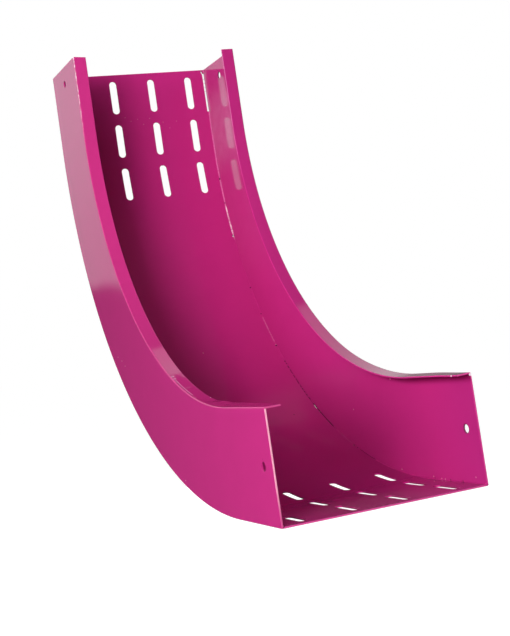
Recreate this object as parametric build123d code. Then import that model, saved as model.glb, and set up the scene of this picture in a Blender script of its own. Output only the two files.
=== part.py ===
from build123d import *
import math
import os

# Raceway vertical drop fitting: an open channel of folded sheet steel that turns a cable run
# from level to straight up. The slotted base is rolled to a quarter turn between two straight
# ends. Each side is a flat sheet cut to the same curve, with an inward flange folded along its
# concave edge. Short stitch welds join the base to the sides.
#
# Frame: the origin is on the underside of the level leg, on the centre line, below its two
# joint holes. +X points right, +Y along the level leg toward the bend, +Z up.

# Channel, in millimetres
channel_width = 200.0
side_height = 100.0
sheet = 1.5
flange_width = 15.0
fold_radius = 2.5

# Bend
flange_bend_radius = 315.0
bend_angle = 90.0
straight_length = 90.0

# Joint holes, one in each side at each end
joint_hole_diameter = 8.0
joint_hole_from_end = 19.5
joint_hole_height = 50.0

# Slots in the base, at both ends, measured on the developed sheet
slot_length = 41.0
slot_width = 9.0
slot_column_pitch = 50.0
slot_edge_margin = 20.0
slot_rows = 3
slot_row_pitch = 55.0
first_slot_from_end = 29.0

# Seams between the base and the sides
seam_gap = 0.5
stitch_length = 40.0
stitch_pitch = 86.0
first_stitch_from_end = 93.0
end_tack_length = 3.0
root_bead = 1.2
left_corner_radius = 0.4
right_corner_radius = 1.3

# Open slit where the base falls short of the right side, below its upper end
slit_from_end = 3.0
slit_length = 51.0
slit_depth = 2.5
slit_corner_radius = 1.2

# Values that follow from those above
half_width = channel_width / 2
base_half_width = half_width - sheet - seam_gap
base_bend_radius = flange_bend_radius + side_height
bend_length = math.radians(bend_angle) * (base_bend_radius - sheet / 2)
run_length = 2 * straight_length + bend_length
slot_columns = int(2 * (base_half_width - slot_edge_margin) / slot_column_pitch) + 1
bend_centre = Vector(0, straight_length - joint_hole_from_end, base_bend_radius)
bend_axis = Axis(bend_centre, (1, 0, 0))


def station(distance):
    """Place at a developed distance from the lower end: x across, y along the run, z off the underside."""
    into_bend = min(max(distance - straight_length, 0), bend_length)
    turn = bend_angle * into_bend / bend_length
    off_bend = distance - straight_length - into_bend
    return Location(bend_centre) * Rot(turn, 0, 0) * Pos(0, off_bend, -base_bend_radius)


def along_run(section, start, end):
    """Carry a cross-section, drawn with x across and y off the underside, along the run."""
    bend_start = straight_length
    bend_end = straight_length + bend_length
    lengths = []
    for low, high in ((start, min(end, bend_start)), (max(start, bend_end), end)):
        if high > low:
            lengths.append(station(low) * extrude(Plane.XZ * section, -(high - low)))
    low = max(start, bend_start)
    high = min(end, bend_end)
    if high > low:
        turn = bend_angle * (high - low) / bend_length
        lengths.append(revolve(station(low) * (Plane.XZ * section), bend_axis, turn))
    joined = lengths[0]
    for length in lengths[1:]:
        joined = joined + length
    return joined


def end_stations(distance):
    """The places at one developed distance from the lower end and from the upper end."""
    return [station(distance), station(run_length - distance)]


def slot_cutters():
    """The slots of both ends, punched square to the sheet."""
    slot = extrude(SlotOverall(slot_length, slot_width, rotation=90), 4 * sheet)
    cutters = []
    for row in range(slot_rows):
        for place in end_stations(first_slot_from_end + row * slot_row_pitch):
            for column in range(slot_columns):
                across = (column - (slot_columns - 1) / 2) * slot_column_pitch
                cutters.append(place * Pos(across, 0, -1.5 * sheet) * slot)
    return cutters


def slit_cutter():
    """The strip missing from the base's right edge, just below the upper end."""
    centre = run_length - slit_from_end - slit_length / 2
    strip = RectangleRounded(2 * slit_depth, slit_length, slit_corner_radius)
    return station(centre) * Pos(base_half_width, 0, -sheet) * extrude(strip, 3 * sheet)


def make_base():
    """The base sheet between the sides, with its slots and its short right edge."""
    section = Pos(0, sheet / 2) * Rectangle(2 * base_half_width, sheet)
    base = along_run(section, 0, run_length)
    for cutter in slot_cutters():
        base = base - cutter
    return base - slit_cutter()


def side_section(corner_radius):
    """Section of the right side: the upright sheet, its fold and the inward flange."""
    upright = Pos(half_width - sheet / 2, side_height / 2) * Rectangle(sheet, side_height)
    flange_middle = (half_width - flange_width / 2, side_height - sheet / 2)
    folded = upright + Pos(*flange_middle) * Rectangle(flange_width, sheet)
    outer_corner = folded.vertices().sort_by_distance((half_width, side_height))[0]
    folded = fillet(outer_corner, fold_radius)
    inner_corner = folded.vertices().sort_by_distance((half_width - sheet, side_height - sheet))[0]
    folded = fillet(inner_corner, fold_radius - sheet)
    ground_corner = folded.vertices().sort_by_distance((half_width, 0))[0]
    return fillet(ground_corner, corner_radius)


def make_side(corner_radius):
    """The right side sheet with its two joint holes."""
    side = along_run(side_section(corner_radius), 0, run_length)
    hole = Rot(0, 90, 0) * Cylinder(joint_hole_diameter / 2, 3 * sheet)
    for place in end_stations(joint_hole_from_end):
        side = side - place * Pos(half_width - sheet / 2, 0, joint_hole_height) * hole
    return side


def make_seam_welds():
    """The stitches of the right seam: each fills the gap and leaves a root bead inside."""
    wall = base_half_width + seam_gap
    outline = Polyline(
        (base_half_width, 0),
        (wall, 0),
        (wall, sheet + root_bead),
        (base_half_width - root_bead, sheet),
        (base_half_width, sheet),
        close=True,
    )
    section = make_face(outline)
    stitches = [along_run(section, 0, end_tack_length)]
    stitches.append(along_run(section, run_length - end_tack_length, run_length))
    count = int((run_length - 2 * first_stitch_from_end) / stitch_pitch) + 1
    for number in range(count):
        middle = first_stitch_from_end + number * stitch_pitch
        stitches.append(along_run(section, middle - stitch_length / 2, middle + stitch_length / 2))
    return Compound(children=stitches)


def mirrored(shape):
    """The same piece on the other side of the centre line."""
    return mirror(shape, Plane.YZ)


os.makedirs("parts", exist_ok=True)
export_step(make_base(), "parts/base_plate.step")
export_step(mirrored(make_side(left_corner_radius)), "parts/left_side.step")
export_step(make_side(right_corner_radius), "parts/right_side.step")
export_step(mirrored(make_seam_welds()), "parts/left_seam_welds.step")
export_step(make_seam_welds(), "parts/right_seam_welds.step")
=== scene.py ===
import math
import bmesh
import bpy
from mathutils import Matrix, Vector


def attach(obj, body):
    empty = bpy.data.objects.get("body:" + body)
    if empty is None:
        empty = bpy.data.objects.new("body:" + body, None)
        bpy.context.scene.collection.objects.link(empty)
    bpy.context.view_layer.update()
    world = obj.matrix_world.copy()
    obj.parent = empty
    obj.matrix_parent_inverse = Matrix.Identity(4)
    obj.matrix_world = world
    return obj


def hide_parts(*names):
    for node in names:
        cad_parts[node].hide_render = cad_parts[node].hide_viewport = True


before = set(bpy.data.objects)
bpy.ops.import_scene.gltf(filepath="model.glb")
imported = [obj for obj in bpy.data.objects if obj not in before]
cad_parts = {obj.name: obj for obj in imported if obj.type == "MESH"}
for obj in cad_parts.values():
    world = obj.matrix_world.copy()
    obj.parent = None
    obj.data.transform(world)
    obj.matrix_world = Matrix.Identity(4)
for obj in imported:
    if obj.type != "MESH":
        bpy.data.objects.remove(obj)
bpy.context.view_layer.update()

# Sizes of the fitting, in metres
mm = 0.001
half_width = 100 * mm
side_height = 100 * mm
sheet = 1.5 * mm
flange_width = 15 * mm
fold_radius = 1.1 * mm
inner_fold_radius = 0.8 * mm
left_ground_corner = 0.4 * mm
right_ground_corner = 1.3 * mm
seam_gap = 0.5 * mm
base_half_width = half_width - sheet - seam_gap
wall_inside = half_width - sheet
flange_edge = half_width - flange_width
seam_strip = base_half_width - 4 * mm

# Run of the channel: a level leg, a quarter turn and a rising leg
straight_length = 90 * mm
end_place = -19.5 * mm
bend_start = end_place + straight_length
base_bend_radius = 415 * mm
top_place = base_bend_radius + straight_length
middle_radius = base_bend_radius - sheet / 2
bend_length = math.pi / 2 * middle_radius
run_length = 2 * straight_length + bend_length
leg_steps = 45
bend_steps = 320

# Holes and slots. The coat lies thicker in the lower slots, which makes them a little smaller
joint_hole_diameter = 8 * mm
joint_hole_from_end = 19.5 * mm
joint_hole_height = 50 * mm
slot_length = 41 * mm
slot_width = 9 * mm
slot_column_pitch = 50 * mm
slot_columns = 4
slot_rows = 3
slot_row_pitch = 55 * mm
first_slot_from_end = 29 * mm
lower_slot_share = (0.83, 0.95, 1)
upper_slot_share = (1, 1, 1)
punch_depth = 6 * mm
punch_sides = 48

# Open slit by the right side. It leans away from the side at its top, and strands of coat cross it
slit_from_end = 3 * mm
slit_shift = 2 * mm
slit_length = 49.2 * mm
slit_depth = 1.8 * mm
slit_corner_radius = 0.7 * mm
slit_corner_segments = 6
slit_lean = math.radians(19)
slit_top = (96.3 * mm, 5.2 * mm)
slit_top_size = (1.3 * mm, 7 * mm)
strand_places = (12.3 * mm, 17.4 * mm, 23.1 * mm, 28 * mm)
strand_radius = 0.22 * mm
strand_sides = 10
strand_height = 0.9 * mm
strand_overlap = 0.6 * mm

# Seams: the stitches, and the thin line of coat that closes the gap between them
stitch_length = 40 * mm
stitch_pitch = 86 * mm
first_stitch_from_end = 93 * mm
end_tack_length = 3 * mm
root_bead = 1.2 * mm
right_bead = 0.8 * root_bead
bead_foot = 0.1 * mm
bead_roundness = 0.95
bead_segments = 6
sunk_bead_reach = 0.2 * mm
sunk_bead_top = 0.5 * mm
coat_line_foot = sheet - 0.5 * mm
coat_line_roundness = 0.9
coat_line_segments = 3
coat_line_step = 2 * mm
left_line = 0.3 * mm
right_line = 0.35 * mm
raised_line = 0.7 * mm

# Ripples of the beads: their step, how a bead thins at its tips, and the depth and pace of two waves
ripple_step = 0.5 * mm
tip_share = 0.35
tip_length = 2 * mm
ripple_depth = 0.07
ripple_pace = 1.05
swell_depth = 0.05
swell_pace = 0.21

# The right seam's beads, and the breaks and raised lengths of its coat line, from the upper end in mm
right_beads = [
    (0, 3), (116, 142), (144.5, 156), (201.7, 219.8), (222.4, 241.7), (288, 295), (297.5, 328),
    (374, 384.5), (388.5, 413), (545.7, 585.7), (631.7, 671.7), (717.7, 757.7), (827.7, 830.7),
]
sunk_bead = (459.7, 493)
coat_line_breaks = [
    (0, 54), (220, 222.2), (457, 460), (461.5, 465), (467, 470), (473, 476), (479, 484), (491, 541),
    (586.6, 588.6), (593.6, 595.4), (600, 664), (743.6, 745.4), (771, 773), (791.6, 793.4),
]
raised_coat = [(57, 141), (145, 174), (178, 218), (340, 380)]

# Small breaks in the right edge of the base: from and to, from the upper end, and depth, in mm
edge_notches = [
    (220.2, 221.9, 1.5), (458, 484, 0.2), (494.2, 501.4, 0.75), (506.8, 509.4, 0.5), (511.8, 526, 0.1),
    (525, 538.6, 0.35), (586.8, 588.4, 1.2), (593.8, 595.6, 0.7), (743.8, 745.2, 0.6), (771.2, 772.8, 0.6),
    (791.8, 793.2, 0.6),
]
notch_overlap = (1 * mm, 2 * mm)
notch_step = 4 * mm

# Marks of the folding tool on the left flange: middle and reach across, from, to and fade along, depth in mm
left_flange_dents = [
    (-97.7, 0.8, 193, 256, 4, 0.3), (-97, 2, 264.6, 265.4, 2.4, 0.4), (-96.8, 2, 271.4, 272.2, 2.4, 0.35),
    (-92.5, 7, 229, 230, 3.2, 0.25), (-95.5, 2.6, 179, 181, 4, 0.18), (-90.5, 2.4, 170, 172, 4, 0.16),
    (-94, 2.8, 160, 162, 5, 0.18), (-88.5, 2.4, 154, 157, 5, 0.14), (-92, 2.6, 144, 146, 5, -0.14),
    (-96, 2.4, 136, 139, 5, 0.15), (-89.5, 2.6, 128, 131, 5, 0.16), (-93.5, 2.6, 117, 120, 5, -0.12),
    (-90, 2.4, 107, 110, 5, 0.12), (-97.5, 2, 30, 33, 5, -0.1),
]

# Free edge of the left flange: how far it is lifted and where along the run, and how far its end is cut back
flange_lift = 2.15 * mm
left_lift_rise = (-25 * mm, 95 * mm)
left_lift_fall = (128 * mm, 168 * mm)
end_trim = 1 * mm
trimmed_end = 1 * mm

# Fold of the right side: how far it is drawn up and where, and the droop of the flange's lower end
right_fold_lift = 1.3 * mm
right_lift_rise = (0, 60 * mm)
right_lift_fall = (170 * mm, 300 * mm)
right_lift_heights = (0.6 * side_height, side_height - sheet)
end_droop = 0.5 * mm
droop_fade = (10 * mm, 30 * mm)

# Rounding of the edges, as the coat leaves them
edge_round = 0.3 * mm
free_edge_round = 0.6 * mm
base_edge_round = 0.2 * mm
cut_edge_round = 0.25 * mm
cut_edge_segments = 2
rounded_past = math.radians(50)
sheet_smooth_angle = math.radians(35)
bead_smooth_angle = math.radians(60)
base_flatness = 100
side_flatness = 50

# Cuts across each flange, closer on the left one for its tool marks, and up each side
flange_cuts = {-1: 31, 1: 15}
upright_cuts = 23

# Two lengths this close are the same
same_length = 4e-6


def run_matrix(distance):
    """Place at a developed distance from the lower end: x across, y along the run, z off the underside."""
    into_bend = min(max(distance - straight_length, 0), bend_length)
    turn = math.pi / 2 * into_bend / bend_length
    off_bend = distance - straight_length - into_bend
    centre = Matrix.Translation((0, bend_start, base_bend_radius))
    return centre @ Matrix.Rotation(turn, 4, "X") @ Matrix.Translation((0, off_bend, -base_bend_radius))


def run_place(point):
    """Developed distance from the lower end and height off the underside of a point on the run."""
    if point.y <= bend_start and point.z < base_bend_radius:
        return point.y - end_place, point.z
    if point.z >= base_bend_radius:
        height = bend_start + base_bend_radius - point.y
        return straight_length + bend_length + point.z - base_bend_radius, height
    along = point.y - bend_start
    down = base_bend_radius - point.z
    distance = straight_length + math.atan2(along, down) * middle_radius
    return distance, base_bend_radius - math.hypot(along, down)


def smooth_step(low, high, value):
    """0 below low, 1 above high, and a smooth rise between them."""
    share = min(max((value - low) / (high - low), 0), 1)
    return share * share * (3 - 2 * share)


def hump(middle, reach, value):
    """1 at the middle, falling smoothly to 0 at the reach."""
    return 1 - smooth_step(0, reach, abs(value - middle))


def deselect_all():
    """Nothing is selected, so the next operator acts on its own piece alone."""
    bpy.ops.object.select_all(action="DESELECT")


def take(piece):
    """One piece selected and active."""
    deselect_all()
    piece.select_set(True)
    bpy.context.view_layer.objects.active = piece


def settle():
    """Put the place, turn and size of the active piece into its mesh."""
    bpy.ops.object.transform_apply(location=True, rotation=True, scale=True)


def open_mesh(piece):
    """Edit mode on one piece."""
    take(piece)
    bpy.ops.object.mode_set(mode="EDIT")


def close_mesh():
    """Back to object mode."""
    bpy.ops.object.mode_set(mode="OBJECT")


def pick(piece, kind, wanted):
    """Select the vertices or edges whose middle point is wanted."""
    bpy.ops.mesh.select_mode(type=kind)
    bpy.ops.mesh.select_all(action="DESELECT")
    shape = bmesh.from_edit_mesh(piece.data)
    if kind == "VERT":
        parts = [(corner, corner.co) for corner in shape.verts]
    else:
        parts = [(edge, (edge.verts[0].co + edge.verts[1].co) / 2) for edge in shape.edges]
    for part, middle in parts:
        if wanted(middle):
            part.select_set(True)
    shape.select_flush_mode()
    bmesh.update_edit_mesh(piece.data)


def near(value, target):
    """The two lengths are the same to a few microns."""
    return abs(value - target) < same_length


def section_plate(name, low_x, high_x, low_z, high_z):
    """A flat plate standing across the lower end, the start of a section."""
    deselect_all()
    middle = ((low_x + high_x) / 2, end_place, (low_z + high_z) / 2)
    bpy.ops.mesh.primitive_plane_add(size=1, location=middle, rotation=(math.pi / 2, 0, 0))
    piece = bpy.context.object
    piece.name = name
    piece.data.name = name
    piece.scale = (high_x - low_x, high_z - low_z, 1)
    settle()
    return piece


def carry_section(piece):
    """Carry the section face along the level leg, round the bend and up the rising leg."""
    bpy.ops.mesh.select_mode(type="FACE")
    bpy.ops.mesh.select_all(action="SELECT")
    bpy.ops.mesh.extrude_region_move(TRANSFORM_OT_translate={"value": (0, straight_length, 0)})
    centre = (0, bend_start, base_bend_radius)
    bpy.ops.mesh.spin(steps=bend_steps, angle=math.pi / 2, center=centre, axis=(-1, 0, 0))
    bpy.ops.mesh.extrude_region_move(TRANSFORM_OT_translate={"value": (0, 0, straight_length)})

    def along_a_leg(middle):
        level = near(middle.y, bend_start - straight_length / 2)
        return level or near(middle.z, base_bend_radius + straight_length / 2)

    pick(piece, "EDGE", along_a_leg)
    bpy.ops.mesh.subdivide(number_cuts=leg_steps - 1)
    bpy.ops.mesh.select_all(action="SELECT")
    bpy.ops.mesh.normals_make_consistent(inside=False)


def divide_section_edges(piece, wanted, cuts):
    """More points along the chosen edges of a section."""
    pick(piece, "EDGE", wanted)
    bpy.ops.mesh.subdivide(number_cuts=cuts)


def round_section_corner(piece, x, z, radius, segments):
    """Round one corner of a section."""
    pick(piece, "VERT", lambda c: near(c.x, x) and near(c.z, z))
    bpy.ops.mesh.bevel(offset=radius, segments=segments, affect="VERTICES")


def cut_with(piece, cutter):
    """Take the cutter's shape out of the piece."""
    take(piece)
    cut = piece.modifiers.new("cut", "BOOLEAN")
    cut.operation = "DIFFERENCE"
    cut.solver = "EXACT"
    cut.object = cutter
    bpy.ops.object.modifier_apply(modifier=cut.name)
    bpy.data.objects.remove(cutter)


def join_pieces(pieces):
    """Several objects made one."""
    deselect_all()
    for piece in pieces:
        piece.select_set(True)
    bpy.context.view_layer.objects.active = pieces[0]
    bpy.ops.object.join()
    return pieces[0]


def finish_sheet(piece, flatness):
    """Round the cut edges a little, as the coat does, and shade the sheet smooth."""
    take(piece)
    rounding = piece.modifiers.new("rounding", "BEVEL")
    rounding.width = cut_edge_round
    rounding.segments = cut_edge_segments
    rounding.limit_method = "ANGLE"
    rounding.angle_limit = rounded_past
    rounding.use_clamp_overlap = False
    bpy.ops.object.modifier_apply(modifier=rounding.name)
    bpy.ops.object.shade_smooth_by_angle(angle=sheet_smooth_angle)
    flats = piece.modifiers.new("flats", "WEIGHTED_NORMAL")
    flats.weight = flatness
    flats.keep_sharp = True
    bpy.ops.object.modifier_apply(modifier=flats.name)


def lay_on_run(piece):
    """Bend a piece that was shaped flat, x across, y along and z off the underside, onto the run."""
    for corner in piece.data.vertices:
        flat = corner.co.copy()
        corner.co = run_matrix(flat.y) @ Vector((flat.x, 0, flat.z))


def flat_bar(name, low, high):
    """A straight bar between two corners, lying along the flat run."""
    deselect_all()
    low = Vector(low)
    high = Vector(high)
    bpy.ops.mesh.primitive_cube_add(size=1, location=(low + high) / 2)
    piece = bpy.context.object
    piece.name = name
    piece.data.name = name
    piece.scale = high - low
    settle()
    return piece


def divide_lengthwise(piece, start, end, step):
    """Points along the long edges of a flat bar, a step apart."""
    middle = (start + end) / 2
    pick(piece, "EDGE", lambda c: near(c.y, middle))
    bpy.ops.mesh.subdivide(number_cuts=max(int((end - start) / step) - 1, 1))


def round_bar_edge(piece, x, z, radius, segments):
    """Round one long edge of a flat bar."""
    pick(piece, "EDGE", lambda c: near(c.x, x) and near(c.z, z))
    bpy.ops.mesh.bevel(offset=radius, segments=segments)


def press_dents(piece, dents):
    """Push the tool marks into the left flange, lift its free edge and cut back its upper end."""
    for corner in piece.data.vertices:
        along, off = run_place(corner.co)
        if off < side_height - 2 * sheet:
            continue
        depth = 0
        for middle, reach, start, end, fade, deep in dents:
            share = hump(middle * mm, reach * mm, corner.co.x)
            share *= smooth_step((start - fade) * mm, start * mm, along)
            share *= 1 - smooth_step(end * mm, (end + fade) * mm, along)
            depth += share * deep * mm
        inward = max(corner.co.x + wall_inside, 0) / (flange_width - sheet)
        lift = smooth_step(*left_lift_rise, along) * (1 - smooth_step(*left_lift_fall, along))
        depth -= flange_lift * lift * inward
        if depth:
            corner.co = run_matrix(along) @ Vector((corner.co.x, 0, off - depth))
        if along > run_length - trimmed_end:
            corner.co.z -= end_trim * inward


def lift_right_fold(piece):
    """Draw the fold of the right side up a little past the bend, which tilts its flange down and inward."""
    for corner in piece.data.vertices:
        along, off = run_place(corner.co)
        inward = max(wall_inside - corner.co.x, 0) / (flange_width - sheet)
        lift = smooth_step(*right_lift_rise, along) * (1 - smooth_step(*right_lift_fall, along))
        lift *= right_fold_lift * smooth_step(*right_lift_heights, off) * (1 - inward)
        lift -= end_droop * inward * (1 - smooth_step(*droop_fade, along))
        if lift:
            corner.co = run_matrix(along) @ Vector((corner.co.x, 0, off + lift))


def both_ends(distance):
    """The places at one developed distance from the lower and from the upper end."""
    return [run_matrix(distance), run_matrix(run_length - distance)]


def below_top(start, end):
    """Two distances below the upper end, in mm, as places along the run, the lower one first."""
    return run_length - end * mm, run_length - start * mm


def slot_cutters():
    """Round-ended punches for every slot, made once and copied."""
    deselect_all()
    bpy.ops.mesh.primitive_cylinder_add(vertices=punch_sides, radius=slot_width / 2, depth=punch_depth)
    punch = bpy.context.object
    open_mesh(punch)
    stretch = (slot_length - slot_width) / 2
    for side in (-1, 1):
        pick(punch, "VERT", lambda c: side * c.y > same_length)
        bpy.ops.transform.translate(value=(0, side * stretch, 0))
    close_mesh()
    cutters = []
    for row in range(slot_rows):
        lower, upper = both_ends(first_slot_from_end + row * slot_row_pitch)
        for place, share in ((lower, lower_slot_share), (upper, upper_slot_share)):
            for column in range(slot_columns):
                across = (column - (slot_columns - 1) / 2) * slot_column_pitch
                copy = bpy.data.objects.new("slot_punch", punch.data.copy())
                bpy.context.collection.objects.link(copy)
                shift = Matrix.Translation((across, 0, sheet / 2))
                copy.data.transform(place @ shift @ Matrix.Diagonal((*share, 1)))
                cutters.append(copy)
    bpy.data.objects.remove(punch)
    return join_pieces(cutters)


def slit_punches():
    """Punches for the open slit beside the right side and for the small breaks along that seam."""
    deselect_all()
    bpy.ops.mesh.primitive_cube_add(size=1)
    punch = bpy.context.object
    punch.scale = (2 * slit_depth, slit_length, punch_depth)
    settle()
    open_mesh(punch)
    pick(punch, "EDGE", lambda c: near(abs(c.x), slit_depth) and near(abs(c.y), slit_length / 2))
    bpy.ops.mesh.bevel(offset=slit_corner_radius, segments=slit_corner_segments)
    close_mesh()
    middle = run_length - slit_from_end - slit_length / 2 - slit_shift
    punch.data.transform(Matrix.Translation((base_half_width, middle, sheet / 2)))
    across, from_top = slit_top
    half = Vector((*slit_top_size, punch_depth)) / 2
    lean = flat_bar("slit_lean_punch", -half, half)
    lean.data.transform(Matrix.Rotation(slit_lean, 4, "Z"))
    lean.data.transform(Matrix.Translation((across, run_length - from_top, sheet / 2)))
    punches = [punch, lean]
    for start, end, depth in edge_notches:
        low, high = below_top(start, end)
        inner_corner = (base_half_width - depth * mm, low, -notch_overlap[1])
        outer_corner = (base_half_width + notch_overlap[0], high, sheet + notch_overlap[1])
        notch = flat_bar("notch_punch", inner_corner, outer_corner)
        open_mesh(notch)
        divide_lengthwise(notch, low, high, notch_step)
        close_mesh()
        punches.append(notch)
    for piece in punches:
        lay_on_run(piece)
    return punches


def make_base_sheet():
    """The slotted base, rolled between its two straight ends."""
    base = section_plate("base_sheet", -base_half_width, base_half_width, 0, sheet)
    open_mesh(base)
    for x in (-seam_strip, seam_strip):
        bpy.ops.mesh.select_all(action="SELECT")
        bpy.ops.mesh.bisect(plane_co=(x, 0, 0), plane_no=(1, 0, 0))
    for x in (-base_half_width, base_half_width):
        for z in (0, sheet):
            round_section_corner(base, x, z, base_edge_round, cut_edge_segments)
    carry_section(base)
    close_mesh()
    cut_with(base, slot_cutters())
    for punch in slit_punches():
        cut_with(base, punch)
    finish_sheet(base, base_flatness)
    return base


def make_side_sheet(name, side, ground_corner):
    """One side: an upright sheet with its joint holes, folded over at the top into a flange."""
    outer = side * half_width
    inner = side * wall_inside
    flange_end = side * flange_edge
    piece = section_plate(name, min(outer, inner), max(outer, inner), 0, side_height)
    under = side_height - sheet
    open_mesh(piece)
    bpy.ops.mesh.select_all(action="SELECT")
    bpy.ops.mesh.bisect(plane_co=(0, 0, under), plane_no=(0, 0, 1))
    pick(piece, "EDGE", lambda c: near(c.x, inner) and c.z > under)
    fold_out = (flange_end - inner, 0, 0)
    bpy.ops.mesh.extrude_region_move(TRANSFORM_OT_translate={"value": fold_out})
    bpy.ops.mesh.select_all(action="SELECT")
    bpy.ops.mesh.dissolve_faces()
    spare = ((outer, under), (inner, side_height))
    pick(piece, "VERT", lambda c: any(near(c.x, x) and near(c.z, z) for x, z in spare))
    bpy.ops.mesh.dissolve_verts()
    corners = [
        (outer, side_height, fold_radius, 10),
        (inner, under, inner_fold_radius, 6),
        (outer, 0, ground_corner, 5),
        (inner, 0, edge_round, 3),
        (flange_end, side_height, free_edge_round, 4),
        (flange_end, under, free_edge_round, 4),
    ]
    for x, z, radius, segments in corners:
        round_section_corner(piece, x, z, radius, segments)
    divide_section_edges(piece, lambda c: near(c.z, side_height) or near(c.z, under), flange_cuts[side])
    divide_section_edges(piece, lambda c: near(c.x, outer) or near(c.x, inner), upright_cuts)
    carry_section(piece)
    close_mesh()
    hole_place = Matrix.Translation((side * (half_width - sheet / 2), 0, joint_hole_height))
    hole_place = hole_place @ Matrix.Rotation(math.pi / 2, 4, "Y")
    hole_radius = joint_hole_diameter / 2
    for place in both_ends(joint_hole_from_end):
        deselect_all()
        bpy.ops.mesh.primitive_cylinder_add(vertices=punch_sides, radius=hole_radius, depth=punch_depth)
        drill = bpy.context.object
        drill.data.transform(place @ hole_place)
        cut_with(piece, drill)
    if side < 0:
        press_dents(piece, left_flange_dents)
    else:
        lift_right_fold(piece)
    finish_sheet(piece, side_flatness)
    return piece


def shade_bead(piece):
    """Smooth shading over a bead, with its sharp edges kept."""
    take(piece)
    bpy.ops.object.shade_smooth_by_angle(angle=bead_smooth_angle)


def stitch_bead(start, end, height):
    """One weld bead, shaped flat, with the ripples of its pool and rounded ends."""
    foot = base_half_width - height
    top = sheet + height
    bead = flat_bar("seam_bead", (foot, start, bead_foot), (wall_inside, end, top))
    open_mesh(bead)
    round_bar_edge(bead, foot, top, bead_roundness * height, bead_segments)
    divide_lengthwise(bead, start, end, ripple_step)
    rings = sorted({round(v.co.y, 7) for v in bmesh.from_edit_mesh(bead.data).verts})
    for number, place in enumerate(rings):
        from_tip = min(place - start, end - place)
        share = tip_share + (1 - tip_share) * smooth_step(0, tip_length, from_tip)
        ripple = ripple_depth * abs(math.sin(number * ripple_pace))
        swell = swell_depth * math.sin(number * swell_pace)
        share *= 1 - ripple - swell
        pick(bead, "VERT", lambda c: near(c.y, place))
        bpy.ops.transform.resize(value=(share, 1, share), center_override=(wall_inside, place, sheet))
    close_mesh()
    return bead


def coat_line(start, end, height):
    """The thin line of coat that closes the gap between two stitches."""
    foot = base_half_width - height
    top = sheet + height
    line = flat_bar("coat_line", (foot, start, coat_line_foot), (wall_inside, end, top))
    open_mesh(line)
    round_bar_edge(line, foot, top, coat_line_roundness * height, coat_line_segments)
    divide_lengthwise(line, start, end, coat_line_step)
    close_mesh()
    return line


def spans_between(breaks, whole):
    """What is left of the whole length between the breaks."""
    spans = []
    last = 0
    for start, end in breaks:
        if start > last:
            spans.append((last, start))
        last = end
    if whole > last:
        spans.append((last, whole))
    return spans


def slit_strands():
    """Strands of coat that cross the slit."""
    strands = []
    reach = slit_depth + seam_gap + strand_overlap
    for from_top in strand_places:
        deselect_all()
        bpy.ops.mesh.primitive_cylinder_add(
            vertices=strand_sides,
            radius=strand_radius,
            depth=reach,
            location=(wall_inside - reach / 2, run_length - from_top, strand_height),
            rotation=(0, math.pi / 2, 0),
        )
        settle()
        strands.append(bpy.context.object)
    return strands


def make_sunk_bead():
    """The low bead that lies down in the right seam."""
    start, end = below_top(*sunk_bead)
    low = (base_half_width - sunk_bead_reach, start, bead_foot)
    bead = flat_bar("sunk_bead", low, (wall_inside, end, sunk_bead_top))
    open_mesh(bead)
    divide_lengthwise(bead, start, end, coat_line_step)
    close_mesh()
    return bead


def make_right_seam():
    """Everything that closes the right seam, as the photograph shows it."""
    pieces = [stitch_bead(*below_top(*span), right_bead) for span in right_beads]
    pieces.append(make_sunk_bead())
    for span in spans_between(coat_line_breaks, run_length / mm):
        pieces.append(coat_line(*below_top(*span), right_line))
    for span in raised_coat:
        pieces.append(coat_line(*below_top(*span), raised_line))
    pieces += slit_strands()
    for piece in pieces:
        lay_on_run(piece)
    seam = join_pieces(pieces)
    seam.name = "right_seam_beads"
    seam.data.name = "right_seam_beads"
    shade_bead(seam)
    return seam


def make_left_seam():
    """The stitches of the left seam and the line of coat between them, shaped on the right and mirrored."""
    tack = stitch_bead(0, end_tack_length, root_bead)
    upper_tack = stitch_bead(run_length - end_tack_length, run_length, root_bead)
    stitch = stitch_bead(-stitch_length / 2, stitch_length / 2, root_bead)
    pieces = [tack, upper_tack, coat_line(0, run_length, left_line)]
    count = int((run_length - 2 * first_stitch_from_end) / stitch_pitch) + 1
    for number in range(count):
        copy = bpy.data.objects.new("seam_bead", stitch.data.copy())
        bpy.context.collection.objects.link(copy)
        copy.data.transform(Matrix.Translation((0, first_stitch_from_end + number * stitch_pitch, 0)))
        pieces.append(copy)
    bpy.data.objects.remove(stitch)
    for piece in pieces:
        lay_on_run(piece)
    seam = join_pieces(pieces)
    seam.name = "left_seam_beads"
    seam.data.name = "left_seam_beads"
    seam.data.transform(Matrix.Scale(-1, 4, (1, 0, 0)))
    seam.data.flip_normals()
    shade_bead(seam)
    return seam


base = make_base_sheet()
left = make_side_sheet("left_side_sheet", -1, left_ground_corner)
right = make_side_sheet("right_side_sheet", 1, right_ground_corner)
left_seam = make_left_seam()
right_seam = make_right_seam()

# Powder coat: scale and detail of its mottle, of the waviness of thin sheet and of its orange peel
mottle_scale, mottle_detail = 38, 5
mottle_dark, mottle_bright = 0.96, 1.04
wave_scale, wave_detail, wave_depth = 11, 1, 0.35 * mm
peel_scale, peel_detail = 420, 2
sheet_peel = 0.01 * mm
bead_peel = 0.02 * mm
smoothest, roughest = 0.05, 0.09
coat_ior = 1.5

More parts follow.
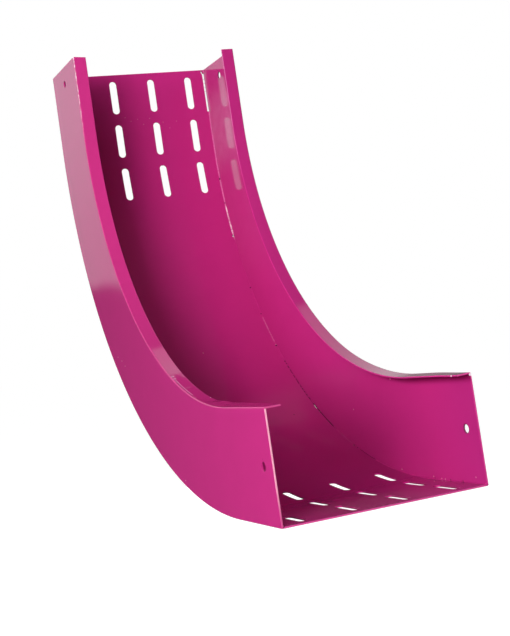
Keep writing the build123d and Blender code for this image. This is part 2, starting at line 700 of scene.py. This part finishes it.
# The colour of the coat, then painted shade, painted light and painted highlights on it, grainy, blooming,
# scuffed, flecked, dusty and chipped coat, and the dark places
magenta = (0.505, 0.021, 0.192)
# Painted shade on the inside of the level legs of the base and the right side
level_shade_magenta = (0.4, 0.018, 0.165)
grainy_magenta = (0.45, 0.085, 0.235)
# Painted highlight on the far ends of the lower slots and on the right flange's free edge
highlight_magenta = (0.62, 0.012, 0.23)
# Painted highlight on the sheared ends of the base and the right side
edge_highlight_magenta = (0.66, 0.06, 0.28)
# Painted light on the top of the left flange
lit_flange_magenta = (0.565, 0.03, 0.208)
# Painted shade on the slot walls, and painted shadow under the right flange
shaded_magenta = (0.2, 0.004, 0.06)
scuffed_magenta = (0.2, 0.01, 0.07)
# Painted highlight on the sheared ends of the left side
edge_highlight_pink = (0.84, 0.36, 0.5)
# Painted highlights on the right seam, the right flange's free edge and the lines pressed into the left
# flange
highlight_pink = (0.68, 0.17, 0.4)
bloom_pink = (0.56, 0.118, 0.29)
fleck_pink = (0.7, 0.3, 0.44)
# Dust specks, and painted glints on the right seam
dust_and_glint_pink = (0.62, 0.2, 0.34)
dull_pink = (0.42, 0.17, 0.26)
# Painted highlights on the left fold, the right seam and the end of the right flange
highlight_white = (0.9, 0.72, 0.8)
chipped_grey = (0.8, 0.74, 0.76)
dark_steel = (0.03, 0.022, 0.02)
dark_rim = (0.06, 0.01, 0.03)
dark_pinhole = (0.05, 0.01, 0.025)
dark_seam = (0.07, 0.006, 0.025)
dark_base_dash = (0.1, 0.008, 0.035)
dark_bead_dash = (0.16, 0.01, 0.055)

# Share of the painted edge highlight at the foot of the left side's lower end
left_foot_highlight = 0.15

# Far ends of the lower slots, which catch the light, along from the joint holes in mm
slot_far_ends = [(26.2, 31), (81.2, 86), (134.5, 140)]

# Painted highlights on lines pressed into the left flange: from, to and fade across, then from, to and fade
# in height, in mm
pressed_line_highlights = [
    (-98.5, -98.1, 0.25, 109, 126.5, 1),
    (-97.3, -96.9, 0.25, 112, 126.5, 1),
    (-98.6, -96.4, 0.8, 127.5, 128.3, 0.4),
    (-98.6, -96.4, 0.8, 129.7, 130.5, 0.4),
]

# Pinholes in the right seam, as distance from the upper end and radius, and the painted glints on it, in mm
seam_across = 97.9 * mm
pinholes = [
    (143, 1.3), (175.5, 1), (296, 1.1), (336, 0.9), (386.8, 1.4), (413.5, 1.1), (418, 0.8), (423.5, 0.9),
]
seam_glints = [144.9, 385.2]
seam_glint_radius = 0.9 * mm

# Specks among the slots of the rising leg, and marks elsewhere on the base: across, along and radius, in mm
slot_specks = [
    (-15, 776), (-8, 771), (1, 773), (8, 766), (17, 773), (24, 763), (34, 767), (42, 759), (52, 767),
]
speck_radius = 0.55 * mm
base_marks = [(67, 325, 1.1, scuffed_magenta), (6, 449, 0.7, dust_and_glint_pink)]

# Flecks on the outside of the left side and the inside of the right: along and off the underside, in mm
left_flecks = [(449, 16.4), (436, 23), (425, 25.4), (226, 5.6)]
left_fleck_radius = 0.8 * mm
right_flecks = [
    (147, 4, dust_and_glint_pink), (88, 3.9, dust_and_glint_pink), (86, 2.3, dark_steel), (74, 2.6, dust_and_glint_pink),
    (68, 2.4, dust_and_glint_pink), (59, 2.2, dark_steel), (38, 2.2, dark_steel), (16, 6.8, dust_and_glint_pink),
    (248.6, 39.9, dust_and_glint_pink), (158, 93, dust_and_glint_pink),
]
right_fleck_radius = 0.9 * mm

# Painted highlights at the end of the right flange, and a chip on the left flange: across, along, off the
# underside and radius, in mm
right_corner_highlights = [(99.2, 0.3, 98.2, 1.8), (85.2, 9, 99, 1.3)]
left_chip = (-85.4, 179, 99.8, 1.3)
hole_rim_radius = 5.4 * mm

# Share of a mark's radius that has its full colour
mark_core = 0.6


def socket(node, name, value):
    """Set one value on a shader's own socket."""
    node.inputs[name].default_value = value


def ramp(tree, value, low, high, below, above):
    """Goes smoothly from one number to another as the value rises."""
    change = tree.nodes.new("ShaderNodeMapRange")
    change.interpolation_type = "SMOOTHSTEP"
    socket(change, "From Min", low)
    socket(change, "From Max", high)
    socket(change, "To Min", below)
    socket(change, "To Max", above)
    tree.links.new(value, change.inputs["Value"])
    return change.outputs["Result"]


def rising(tree, value, low, high, most=1):
    """0 below low, and up smoothly to its most above high."""
    return ramp(tree, value, low, high, 0, most)


def falling(tree, value, low, high):
    """1 below low, and down smoothly to 0 above high."""
    return ramp(tree, value, low, high, 1, 0)


def band(tree, value, low, high, soft):
    """1 between low and high, and 0 past a soft edge on either side."""
    return product(tree, rising(tree, value, low - soft, low), falling(tree, value, high, high + soft))


def math_of(tree, operation, first, second=0.0):
    """One sum on two numbers, each from a node or plain."""
    sum_node = tree.nodes.new("ShaderNodeMath")
    sum_node.operation = operation
    for number, value in enumerate((first, second)):
        if isinstance(value, (int, float)):
            sum_node.inputs[number].default_value = value
        else:
            tree.links.new(value, sum_node.inputs[number])
    return sum_node.outputs["Value"]


def product(tree, *values):
    """All the values multiplied together."""
    result = values[0]
    for value in values[1:]:
        result = math_of(tree, "MULTIPLY", result, value)
    return result


def object_place(tree):
    """The object's own coordinates."""
    return tree.nodes.new("ShaderNodeTexCoord").outputs["Object"]


def object_axis(tree, axis):
    """One of the object's own coordinates: X across, Y along the level leg or Z up."""
    split = tree.nodes.new("ShaderNodeSeparateXYZ")
    tree.links.new(object_place(tree), split.inputs["Vector"])
    return split.outputs[axis]


def noise(tree, scale, detail):
    """A cloudy pattern on the object's own coordinates."""
    cloud = tree.nodes.new("ShaderNodeTexNoise")
    socket(cloud, "Scale", scale)
    socket(cloud, "Detail", detail)
    tree.links.new(object_place(tree), cloud.inputs["Vector"])
    return cloud.outputs["Fac"]


def patches(tree, scale, detail, low, high, below, above):
    """The cloudy pattern with more contrast, from one number to another."""
    return ramp(tree, noise(tree, scale, detail), low, high, below, above)


def off_underside(tree):
    """Height off the underside of the channel, along the whole run."""
    past = math_of(tree, "SUBTRACT", object_axis(tree, "Y"), bend_start)
    past = math_of(tree, "MAXIMUM", past, 0)
    below = math_of(tree, "SUBTRACT", base_bend_radius, object_axis(tree, "Z"))
    below = math_of(tree, "MAXIMUM", below, 0)
    squares = math_of(tree, "ADD", product(tree, past, past), product(tree, below, below))
    return math_of(tree, "SUBTRACT", base_bend_radius, math_of(tree, "SQRT", squares))


def tint(tree, colour, *shares):
    """Lay another colour over the coat, as strongly as the shares multiplied together."""
    coat = tree.nodes["coat"]
    under = coat.inputs["Base Color"].links[0].from_socket
    mix = tree.nodes.new("ShaderNodeMix")
    mix.data_type = "RGBA"
    tree.links.new(product(tree, *shares), mix.inputs["Factor"])
    tree.links.new(under, mix.inputs["A"])
    mix.inputs["B"].default_value = (*colour, 1)
    tree.links.new(mix.outputs["Result"], coat.inputs["Base Color"])


def powder_coat(name, peel_depth):
    """Glossy powder coat: a little mottled, with orange peel and the waviness of thin sheet."""
    material = bpy.data.materials.new(name)
    material.use_nodes = True
    tree = material.node_tree
    tree.nodes.clear()
    out = tree.nodes.new("ShaderNodeOutputMaterial")
    coat = tree.nodes.new("ShaderNodeBsdfPrincipled")
    coat.name = "coat"
    tree.links.new(coat.outputs["BSDF"], out.inputs["Surface"])
    mottle = noise(tree, mottle_scale, mottle_detail)
    shade = tree.nodes.new("ShaderNodeMix")
    shade.data_type = "RGBA"
    shade.inputs["A"].default_value = (*[mottle_dark * c for c in magenta], 1)
    shade.inputs["B"].default_value = (*[mottle_bright * c for c in magenta], 1)
    tree.links.new(mottle, shade.inputs["Factor"])
    tree.links.new(shade.outputs["Result"], coat.inputs["Base Color"])
    tree.links.new(ramp(tree, mottle, 0, 1, smoothest, roughest), coat.inputs["Roughness"])
    socket(coat, "IOR", coat_ior)
    wave = tree.nodes.new("ShaderNodeBump")
    socket(wave, "Strength", 1)
    socket(wave, "Distance", wave_depth)
    tree.links.new(noise(tree, wave_scale, wave_detail), wave.inputs["Height"])
    skin = tree.nodes.new("ShaderNodeBump")
    socket(skin, "Strength", 1)
    socket(skin, "Distance", peel_depth)
    tree.links.new(noise(tree, peel_scale, peel_detail), skin.inputs["Height"])
    tree.links.new(wave.outputs["Normal"], skin.inputs["Normal"])
    tree.links.new(skin.outputs["Normal"], coat.inputs["Normal"])
    return material


def past_lower_end(tree):
    """1 everywhere but on the sheared lower end."""
    return rising(tree, object_axis(tree, "Y"), end_place + 0.5 * mm, end_place + 0.8 * mm)


def add_edge_highlight(tree, colour, at_foot):
    """Painted highlight on the sheared ends of the sheet: a paler colour laid over their cut edges."""
    up = object_axis(tree, "Z")
    lower = falling(tree, object_axis(tree, "Y"), end_place + 0.25 * mm, end_place + 0.45 * mm)
    lower = product(tree, lower, ramp(tree, up, 0, 45 * mm, at_foot, 1))
    upper = rising(tree, up, top_place - 0.45 * mm, top_place - 0.25 * mm)
    tint(tree, colour, math_of(tree, "MAXIMUM", lower, upper))


def add_bare_seam(tree):
    """Inside the open parts of the seams the coat does not reach, and the steel is dark."""
    off = off_underside(tree)
    width = math_of(tree, "ABSOLUTE", object_axis(tree, "X"))
    low = rising(tree, width, base_half_width - 2.4 * mm, base_half_width - 2.2 * mm)
    high = falling(tree, width, wall_inside + 0.1 * mm, wall_inside + 0.2 * mm)
    deep = falling(tree, off, sheet - 0.25 * mm, sheet - 0.1 * mm)
    shallow = rising(tree, off, 0.1 * mm, 0.25 * mm)
    tint(tree, dark_steel, low, high, deep, shallow, past_lower_end(tree))


def add_mark(tree, place, radius, colour):
    """One small speck or chip."""
    gap = tree.nodes.new("ShaderNodeVectorMath")
    gap.operation = "DISTANCE"
    tree.links.new(object_place(tree), gap.inputs[0])
    gap.inputs[1].default_value = place
    tint(tree, colour, falling(tree, gap.outputs["Value"], mark_core * radius, radius))


def on_run(across, along, off):
    """A place on the channel: across in metres, along the run and off the underside in mm."""
    return run_matrix(along * mm) @ Vector((across, 0, off * mm))


def inside_of_base(tree):
    """1 on the inside face of the base, 0 on its edges and its underside."""
    return rising(tree, off_underside(tree), sheet - 0.3 * mm, sheet - 0.1 * mm)


def inside_of_right(tree):
    """1 on the inside of the right side, below its fold."""
    inner = falling(tree, object_axis(tree, "X"), wall_inside + 0.1 * mm, wall_inside + 0.3 * mm)
    return product(tree, inner, falling(tree, off_underside(tree), 97.5 * mm, 98.5 * mm))


def slot_walls(tree):
    """1 on the walls of the slots, clear of the two faces of the base."""
    off = off_underside(tree)
    low = rising(tree, off, 0.3 * mm, 0.4 * mm)
    return product(tree, low, falling(tree, off, sheet - 0.35 * mm, sheet - 0.2 * mm))


def seam_dashes(tree):
    """Short dashes along the seam, above its open length."""
    up = object_axis(tree, "Z")
    dashes = patches(tree, scale=300, detail=1, low=0.45, high=0.52, below=0, above=0.8)
    return product(tree, dashes, rising(tree, up, 93 * mm, 96 * mm), falling(tree, up, 115 * mm, 128 * mm))


def add_level_shade_and_grain(tree):
    """Painted shade on the inside of the level leg, darker toward its lower end, and dry, grainy overspray
    over it.
    """
    along = object_axis(tree, "Y")
    inner = inside_of_base(tree)
    darker = ramp(tree, along, 100 * mm, 240 * mm, below=0.9, above=0)
    # Painted shade: darker toward the lower end of the level leg
    tint(tree, level_shade_magenta, darker, inner)
    grain = patches(tree, scale=900, detail=3, low=0.35, high=0.7, below=0.2, above=1)
    cloud = patches(tree, scale=25, detail=1, low=0.35, high=0.6, below=0.5, above=1)
    leg = falling(tree, along, 30 * mm, 90 * mm)
    tint(tree, grainy_magenta, grain, cloud, leg, inner)


def shade_slot_walls(tree):
    """Painted shade on the walls of the lower slots."""
    lower = falling(tree, object_axis(tree, "Y"), 90 * mm, 120 * mm)
    tint(tree, shaded_magenta, slot_walls(tree), past_lower_end(tree), lower)


def open_right_seam(tree):
    """The seam at the right edge of the base is open and dark for a length, and dashed above it."""
    up = object_axis(tree, "Z")
    edge = rising(tree, object_axis(tree, "X"), base_half_width - 0.75 * mm, base_half_width - 0.55 * mm)
    open_length = product(tree, rising(tree, up, 46 * mm, 49 * mm), falling(tree, up, 93 * mm, 96 * mm))
    tint(tree, dark_seam, edge, open_length)
    tint(tree, dark_base_dash, edge, seam_dashes(tree))


def light_slot_ends(tree):
    """Painted highlight on the far end of each lower slot, where it catches the light."""
    for low, high in slot_far_ends:
        far_end = band(tree, object_axis(tree, "Y"), low * mm, high * mm, 0.4 * mm)
        tint(tree, highlight_magenta, slot_walls(tree), far_end)


def add_dust(tree):
    """Dust that clings to the overspray, most of all in the middle of the level leg."""
    off_middle = math_of(tree, "SUBTRACT", object_axis(tree, "X"), 5 * mm)
    off_middle = math_of(tree, "ABSOLUTE", off_middle)
    middle = ramp(tree, off_middle, 20 * mm, 75 * mm, below=1, above=0.15)
    leg = falling(tree, object_axis(tree, "Y"), 20 * mm, 60 * mm)
    specks = patches(tree, scale=620, detail=2, low=0.47, high=0.62, below=0.1, above=0.75)
    tint(tree, dull_pink, inside_of_base(tree), middle, leg, specks)


def add_bloom(tree):
    """Chalky bloom on the inside of the right side, by the open slit and thinly along the seam."""
    up = object_axis(tree, "Z")
    faint = rising(tree, up, 200 * mm, 300 * mm)
    strong = ramp(tree, up, 355 * mm, 415 * mm, below=0.14, above=1)
    top = ramp(tree, up, 445 * mm, 485 * mm, below=1, above=0.15)
    by_seam = ramp(tree, off_underside(tree), 6 * mm, 18 * mm, below=0.5, above=0)
    top = math_of(tree, "MAXIMUM", top, by_seam)
    cloud = patches(tree, scale=60, detail=2, low=0.3, high=0.7, below=0.75, above=1)
    grain = patches(tree, scale=700, detail=2, low=0.3, high=0.7, below=0.75, above=1)
    tint(tree, bloom_pink, inside_of_right(tree), faint, strong, top, cloud, grain)


def light_and_shade_right_side(tree):
    """Painted highlight on the flange's free edge, paler higher up, painted shade on the level leg, and
    painted shadow under the flange.
    """
    up = object_axis(tree, "Z")
    inner = inside_of_right(tree)
    edge = falling(tree, object_axis(tree, "X"), flange_edge + 0.4 * mm, flange_edge + 0.7 * mm)
    # Painted highlights on the free edge, paler higher up
    tint(tree, highlight_magenta, edge)
    highlight_share = ramp(tree, up, 320 * mm, 450 * mm, below=0.1, above=0.9)
    tint(tree, highlight_pink, edge, highlight_share)
    # Painted shade on the level leg, darker toward the lower end
    darker = ramp(tree, object_axis(tree, "Y"), end_place, 70 * mm, below=0.9, above=0)
    tint(tree, level_shade_magenta, inner, darker)
    # Painted shadow under the flange
    under_flange = rising(tree, off_underside(tree), 89.5 * mm, 96.5 * mm, most=0.95)
    tint(tree, shaded_magenta, inner, under_flange, falling(tree, up, 130 * mm, 200 * mm))


def highlight_right_seam(tree):
    """The right seam: dark dashes above its open length, and a painted highlight with painted glints on two
    lengths.
    """
    up = object_axis(tree, "Z")
    right_half = rising(tree, object_axis(tree, "X"), 0, 1 * mm)
    tint(tree, dark_bead_dash, right_half, seam_dashes(tree))
    # Painted highlight and painted glints on two lengths of the seam
    patchy = patches(tree, scale=700, detail=2, low=0.35, high=0.6, below=0.45, above=1)
    highlight_share = product(tree, right_half, patchy)
    tint(tree, highlight_pink, highlight_share, rising(tree, up, 283 * mm, 290 * mm, most=0.9))
    sparkle = patches(tree, scale=500, detail=1, low=0.42, high=0.55, below=0.1, above=0.8)
    bright_length = band(tree, up, 287 * mm, 322 * mm, 6 * mm)
    tint(tree, highlight_white, right_half, sparkle, bright_length)
    lower_length = rising(tree, up, 146 * mm, 150 * mm, most=0.4)
    lower_length = product(tree, lower_length, falling(tree, up, 178 * mm, 181 * mm))
    tint(tree, highlight_pink, highlight_share, lower_length)


def light_left_side(tree):
    """The left flange: painted light on top, painted highlights on the lines pressed by the folding tool,
    and a painted highlight along the fold, broken in patches.
    """
    across = object_axis(tree, "X")
    up = object_axis(tree, "Z")
    off = off_underside(tree)
    # Painted light: the top of the flange is tinted paler
    tint(tree, lit_flange_magenta, rising(tree, off, 98 * mm, 98.8 * mm, most=0.9))
    flange_top = rising(tree, off, 98.2 * mm, 98.6 * mm)
    # Painted highlights on the pressed lines
    for start, end, side_fade, low, high, end_fade in pressed_line_highlights:
        pressed = band(tree, across, start * mm, end * mm, side_fade * mm)
        pressed = product(tree, pressed, band(tree, up, low * mm, high * mm, end_fade * mm))
        tint(tree, highlight_pink, flange_top, pressed)
    # Painted highlight along the top of the fold, broken in patches
    fold = falling(tree, across, 0.7 * mm - half_width, 1 * mm - half_width)
    fold = product(tree, fold, rising(tree, off, 98.7 * mm, 99.2 * mm))
    highlight_breaks = patches(tree, scale=140, detail=2, low=0.42, high=0.6, below=0.15, above=0.85)
    tint(tree, highlight_white, fold, highlight_breaks, rising(tree, up, 400 * mm, 480 * mm))


base_coat = powder_coat("base_powder_coat", sheet_peel)
left_coat = powder_coat("left_side_powder_coat", sheet_peel)
right_coat = powder_coat("right_side_powder_coat", sheet_peel)
seam_coat = powder_coat("seam_powder_coat", bead_peel)
coats = (base_coat, left_coat, right_coat, seam_coat)
base_tree, left_tree, right_tree, seam_tree = [coat.node_tree for coat in coats]

# Each layer covers those before it
for sheet_tree in (base_tree, left_tree, right_tree):
    add_bare_seam(sheet_tree)
add_edge_highlight(base_tree, edge_highlight_magenta, 1)
add_edge_highlight(left_tree, edge_highlight_pink, left_foot_highlight)
add_edge_highlight(right_tree, edge_highlight_magenta, 1)
add_level_shade_and_grain(base_tree)
shade_slot_walls(base_tree)
open_right_seam(base_tree)
light_slot_ends(base_tree)
add_dust(base_tree)
add_bloom(right_tree)
light_and_shade_right_side(right_tree)
highlight_right_seam(seam_tree)
light_left_side(left_tree)

# Specks of dust, pinholes, scuffs, dark rings round the joint holes and a chip in the coat, with painted
# glints on the seam and painted highlights at the end of the right flange
sheet_top = sheet / mm
for from_top, radius in pinholes:
    pinhole = on_run(seam_across, run_length / mm - from_top, sheet_top)
    for pierced_tree in (base_tree, seam_tree):
        add_mark(pierced_tree, pinhole, radius * mm, dark_pinhole)
# Painted glints on the seam
for from_top in seam_glints:
    glint = on_run(seam_across, run_length / mm - from_top, sheet_top)
    add_mark(seam_tree, glint, seam_glint_radius, dust_and_glint_pink)
for mark_across, mark_along in slot_specks:
    add_mark(base_tree, on_run(mark_across * mm, mark_along, sheet_top), speck_radius, dust_and_glint_pink)
for mark_across, mark_along, radius, colour in base_marks:
    add_mark(base_tree, on_run(mark_across * mm, mark_along, sheet_top), radius * mm, colour)
for mark_along, mark_off in left_flecks:
    add_mark(left_tree, on_run(-half_width, mark_along, mark_off), left_fleck_radius, fleck_pink)
for mark_along, mark_off, colour in right_flecks:
    add_mark(right_tree, on_run(wall_inside, mark_along, mark_off), right_fleck_radius, colour)
for end in both_ends(joint_hole_from_end):
    hole = end @ Vector((wall_inside, 0, joint_hole_height))
    add_mark(right_tree, hole, hole_rim_radius, dark_rim)
# Painted highlights at the end of the right flange
for mark_across, mark_along, mark_off, radius in right_corner_highlights:
    add_mark(right_tree, on_run(mark_across * mm, mark_along, mark_off), radius * mm, highlight_white)
mark_across, mark_along, mark_off, radius = left_chip
add_mark(left_tree, on_run(mark_across * mm, mark_along, mark_off), radius * mm, chipped_grey)


def dress(piece, material, node):
    """Keep a piece within the fitting's height, give it its coat and its body, and hide the CAD part it
    stands in for.
    """
    for corner in piece.data.vertices:
        corner.co.z = min(corner.co.z, top_place)
    piece.data.materials.clear()
    piece.data.materials.append(material)
    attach(piece, "root")
    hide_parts(node)


dress(base, base_coat, "base_plate")
dress(left, left_coat, "left_side")
dress(right, right_coat, "right_side")
dress(left_seam, seam_coat, "left_seam_welds")
dress(right_seam, seam_coat, "right_seam_welds")

# Camera, where the photograph was taken from
photo_width = 510
photo_height = 636
focal_pixels = 1213.69
optical_centre = (203.98, 270.29)
sensor_width = 36
camera_data = bpy.data.cameras.new("camera")
camera = bpy.data.objects.new("camera", camera_data)
bpy.context.collection.objects.link(camera)
eye = Vector((-490.63, -939.08, 159.12)) * mm
ahead = Vector((0.36019, 0.93102, 0.05891))
down = Vector((-0.11329, 0.10633, -0.98786))
rightward = Vector((0.92598, -0.34914, -0.14378))
turned = Matrix((rightward, -down, -ahead)).transposed()
camera.matrix_world = Matrix.Translation(eye) @ turned.to_4x4()
camera_data.sensor_fit = "AUTO"
camera_data.sensor_width = sensor_width
camera_data.lens = focal_pixels / photo_height * sensor_width
camera_data.shift_x = (photo_width / 2 - optical_centre[0]) / photo_height
camera_data.shift_y = (optical_centre[1] - photo_height / 2) / photo_height
camera_data.clip_start = 0.01
camera_data.clip_end = 100
bpy.context.scene.camera = camera

# Pale floor, some way below the fitting, which hangs from its mounts
floor_level = -0.3
floor_width = 60
floor_shade = (0.85, 0.85, 0.85, 1)
floor_glow = 1.25
floor_glow_share = 0.8
deselect_all()
bpy.ops.mesh.primitive_plane_add(size=floor_width, location=(0, 0, floor_level))
floor = bpy.context.object
floor.name = "floor"
floor.visible_glossy = False
floor.visible_diffuse = False
floor_paint = bpy.data.materials.new("pale_floor")
floor_paint.use_nodes = True
nodes = floor_paint.node_tree.nodes
links = floor_paint.node_tree.links
nodes.clear()
out = nodes.new("ShaderNodeOutputMaterial")
paint = nodes.new("ShaderNodeBsdfDiffuse")
socket(paint, "Color", floor_shade)
glow = nodes.new("ShaderNodeEmission")
socket(glow, "Strength", floor_glow)
seen = nodes.new("ShaderNodeLightPath")
share = nodes.new("ShaderNodeMath")
share.operation = "MULTIPLY"
socket(share, 1, floor_glow_share)
links.new(seen.outputs["Is Camera Ray"], share.inputs[0])
blend = nodes.new("ShaderNodeMixShader")
links.new(share.outputs["Value"], blend.inputs["Fac"])
links.new(paint.outputs["BSDF"], blend.inputs[1])
links.new(glow.outputs["Emission"], blend.inputs[2])
links.new(blend.outputs["Shader"], out.inputs["Surface"])
floor.data.materials.append(floor_paint)

# Studio: a white backdrop, and round it the darker room that the gloss mirrors
world = bpy.data.worlds.new("white_studio")
bpy.context.scene.world = world
world.use_nodes = True
sky = world.node_tree
sky.nodes.clear()


def mixed(tree, share, first, second):
    """The first brightness where the share is 0 and the second where it is 1."""
    mix = tree.nodes.new("ShaderNodeMix")
    for name, value in (("Factor", share), ("A", first), ("B", second)):
        tree.links.new(value, mix.inputs[name])
    return mix.outputs["Result"]


look = sky.nodes.new("ShaderNodeTexCoord")
toward = sky.nodes.new("ShaderNodeSeparateXYZ")
sky.links.new(look.outputs["Generated"], toward.inputs["Vector"])
rightness, depth, height = toward.outputs["X"], toward.outputs["Y"], toward.outputs["Z"]
left_glow = ramp(sky, height, 0.06, 0.22, below=0.68, above=0.93)
left_foot = ramp(sky, height, 0.052, 0.063, below=0.1, above=1)
left_backdrop = math_of(sky, "MULTIPLY", left_foot, left_glow)
right_backdrop = ramp(sky, height, 0, 0.44, below=0.06, above=1)
whole_backdrop = mixed(sky, rising(sky, rightness, 0.05, 0.45), left_backdrop, right_backdrop)
ceiling = ramp(sky, height, 0.897, 0.908, below=1, above=0.07)
mirrored_backdrop = math_of(sky, "MULTIPLY", whole_backdrop, ceiling)
room_front = ramp(sky, height, 0.2, 0.9, below=0.03, above=0.06)
mirrored_room = mixed(sky, rising(sky, depth, 0.02, 0.12), room_front, mirrored_backdrop)
rays = sky.nodes.new("ShaderNodeLightPath")
straight = math_of(sky, "MAXIMUM", rays.outputs["Is Camera Ray"], rays.outputs["Is Transmission Ray"])
mirrored = math_of(sky, "MULTIPLY", mirrored_room, rays.outputs["Is Glossy Ray"])
backdrop = sky.nodes.new("ShaderNodeBackground")
socket(backdrop, "Color", (1, 1, 1, 1))
sky.links.new(math_of(sky, "ADD", straight, mirrored), backdrop.inputs["Strength"])
out = sky.nodes.new("ShaderNodeOutputWorld")
sky.links.new(backdrop.outputs["Background"], out.inputs["Surface"])

# Soft lights: name, place, width in metres and power in watts
softboxes = [
    ("key_softbox", (-2.5, -2.5, 0.6), 1.5, 79),
    ("side_softbox", (-3.33, -0.89, 0.61), 1.2, 22),
    ("right_softbox", (2.75, -1.28, 1.75), 1.2, 23.7),
    ("high_softbox", (-1.0, -1.2, 0.7), 0.8, 8.4),
    ("low_softbox", (-1.5, -0.8, 0.3), 0.8, 7.5),
    ("upper_left_softbox", (-1.84, -1.06, 2.12), 1.2, 5.7),
    ("front_low_softbox", (0, -3.49, 0.3), 1.2, 4.7),
    ("front_high_softbox", (1.12, -1.95, 2.68), 1.2, 3.4),
    ("near_softbox", (-0.75, -0.6, 0.25), 0.4, 1.6),
    ("near_low_softbox", (-0.8, -0.3, 0), 0.4, 1.4),
    ("back_softbox", (0.3, 2.9, 0.2), 1.2, 45),
    ("back_right_softbox", (2.9, 1.2, 0.1), 0.6, 22),
]
lit_point = Vector((0, 0.2, 0.2))


def softbox(name, place, width, power):
    """A soft square light, turned toward the fitting."""
    data = bpy.data.lights.new(name, "AREA")
    data.shape = "SQUARE"
    data.size = width
    data.energy = power
    lamp = bpy.data.objects.new(name, data)
    bpy.context.collection.objects.link(lamp)
    direction = lit_point - Vector(place)
    lamp.matrix_world = Matrix.Translation(place) @ direction.to_track_quat("-Z", "Y").to_matrix().to_4x4()
    lamp.visible_camera = False
    lamp.visible_glossy = False


for row in softboxes:
    softbox(*row)

bpy.context.scene.view_settings.view_transform = "Standard"
